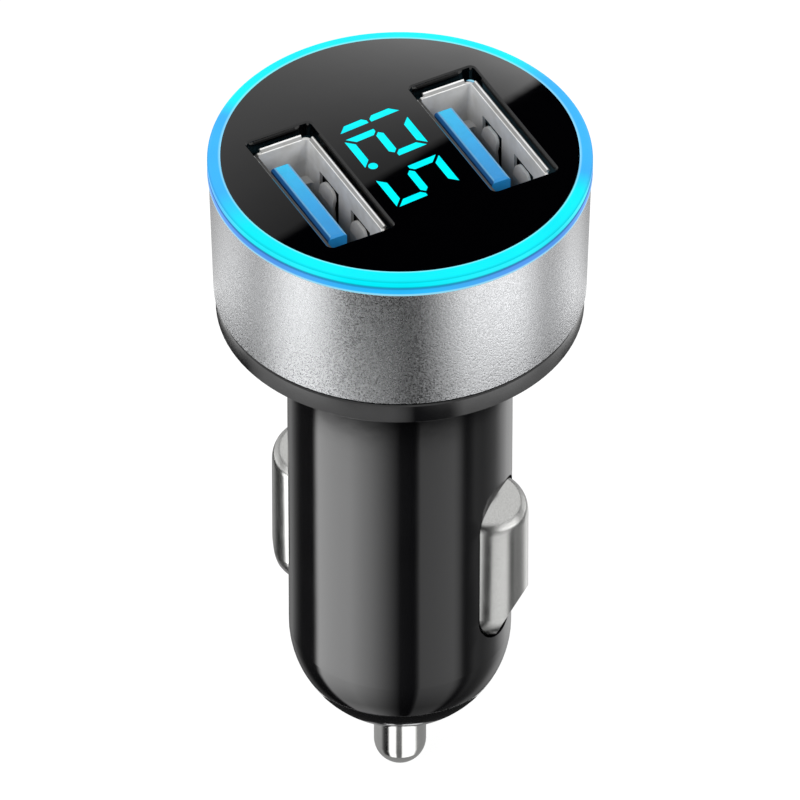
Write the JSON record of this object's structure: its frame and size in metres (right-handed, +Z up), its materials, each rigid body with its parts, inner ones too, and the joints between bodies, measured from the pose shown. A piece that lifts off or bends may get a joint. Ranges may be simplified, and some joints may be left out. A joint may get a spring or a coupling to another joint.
{
  "type": "car charger plug",
  "caption": "Round car charger plug with USB ports and a lit number display in its face, a metal sleeve, a slim barrel, and sprung tip and side contacts.",
  "frame": {"origin": "on the barrel's axis, at the underside of the head's lip, where the plug stops against the rim of the car's socket", "axes": "+Z up the axis, from the tip towards the face with the ports; +X from the port on the left of the picture to the one on the right; the digits read along -Y"},
  "size_m": [0.035, 0.035, 0.0734],
  "materials": {
    "black_shell": "gloss black moulded plastic",
    "sleeve_aluminium": "bead-blasted, clear anodised",
    "ring_light": "translucent ring, lit from inside, cyan above and blue below",
    "black_face": "high gloss black",
    "digit_light": "clear plastic, lit cyan",
    "display_block": "white moulded block",
    "board": "green circuit board",
    "lamp": "small white lamp body",
    "header_plastic": "black moulded plastic",
    "port_steel": "stamped, nickel plated",
    "tongue_plastic": "blue moulded plastic",
    "strip_gold": "gold plated",
    "ferrite": "dark ferrite with lacquered wire",
    "can_sleeved": "dark shrink sleeve",
    "can_bare": "bare can",
    "chip_plastic": "black moulded package",
    "fuse_tube": "white ceramic tube with end caps",
    "carrier_nylon": "natural nylon",
    "seat_brass": "plain brass",
    "spring_steel": "spring steel wire",
    "tip_nickel": "turned and nickel plated",
    "contact_chrome": "stamped, satin nickel plated"
  },
  "bodies": {
    "housing": {"body_shell": "black_shell", "metal_sleeve": "sleeve_aluminium", "light_ring": "ring_light", "face_panel": "black_face", "light_guide": "digit_light", "display_module": "display_block", "display_board": "board", "ring_led_1": "lamp", "ring_led_2": "lamp", "ring_led_3": "lamp", "ring_led_4": "lamp", "board_header_front": "header_plastic", "board_header_rear": "header_plastic", "port_board": "board", "usb_shell_left": "port_steel", "usb_shell_right": "port_steel", "usb_tongue_left": "tongue_plastic", "usb_tongue_right": "tongue_plastic", "left_strip_1": "strip_gold", "left_strip_2": "strip_gold", "left_strip_3": "strip_gold", "left_strip_4": "strip_gold", "right_strip_1": "strip_gold", "right_strip_2": "strip_gold", "right_strip_3": "strip_gold", "right_strip_4": "strip_gold", "driver_board": "board", "inductor": "ferrite", "input_capacitor": "can_sleeved", "output_capacitor": "can_bare", "converter_chip": "chip_plastic", "fuse": "fuse_tube", "contact_carrier": "carrier_nylon", "spring_seat": "seat_brass", "tip_spring": "spring_steel", "side_spring_front": "spring_steel", "side_spring_rear": "spring_steel"},
    "tip": {"tip_contact": "tip_nickel"},
    "side_front": {"side_contact_front": "contact_chrome"},
    "side_rear": {"side_contact_rear": "contact_chrome"}
  },
  "joints": [
    {"name": "tip_slide", "type": "slide", "parent": "housing", "child": "tip", "axis": [0, 0, 1], "range_m": [0, 0.004], "stiffness_N_per_m": 500, "springref_m": -0.003, "deforming": ["tip_spring"]},
    {"name": "side_front_slide", "type": "slide", "parent": "housing", "child": "side_front", "axis": [-0.6157, 0.788, 0], "range_m": [0, 0.0023], "stiffness_N_per_m": 1500, "springref_m": -0.001, "deforming": ["side_spring_front"]},
    {"name": "side_rear_slide", "type": "slide", "parent": "housing", "child": "side_rear", "axis": [0.6157, -0.788, 0], "range_m": [0, 0.0023], "stiffness_N_per_m": 1500, "springref_m": -0.001, "deforming": ["side_spring_rear"]}
  ]
}
